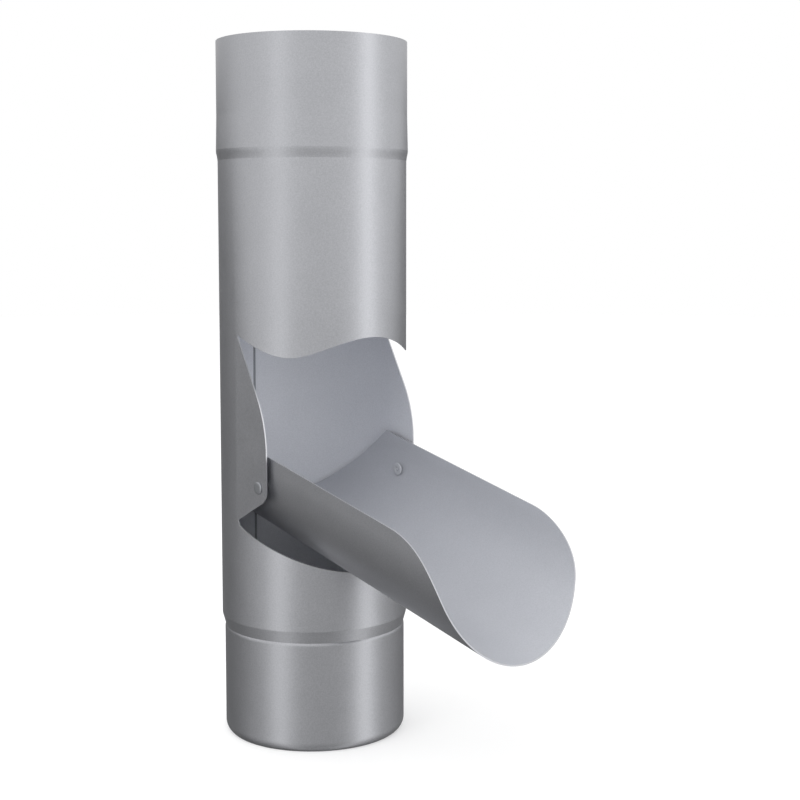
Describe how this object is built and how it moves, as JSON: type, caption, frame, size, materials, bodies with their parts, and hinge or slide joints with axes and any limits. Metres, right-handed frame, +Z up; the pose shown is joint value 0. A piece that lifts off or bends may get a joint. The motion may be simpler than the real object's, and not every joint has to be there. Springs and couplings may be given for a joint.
{
  "type": "downpipe diverter",
  "caption": "Length of round zinc downpipe with a window in its side and a hinged half-round chute that swings out to divert rainwater.",
  "frame": {"origin": "on the pipe's axis at the spigot's neck, as far as the spigot slides into the pipe below", "axes": "+Z up along the pipe's axis, -Y out through the window along the chute, X along the chute's hinge"},
  "size_m": [0.1032, 0.2148, 0.374],
  "materials": {
    "zinc": "satin rolled titanium-zinc sheet",
    "rivet": "plain satin"
  },
  "bodies": {
    "downpipe": {"pipe": "zinc", "rivet_left": "rivet", "rivet_right": "rivet"},
    "flap": {"chute": "zinc"}
  },
  "joints": [
    {"name": "chute_hinge", "type": "hinge", "parent": "downpipe", "child": "flap", "pos_m": [0, -0.0186, 0.0837], "axis": [-1, 0, 0], "range_deg": [0, 88]}
  ]
}
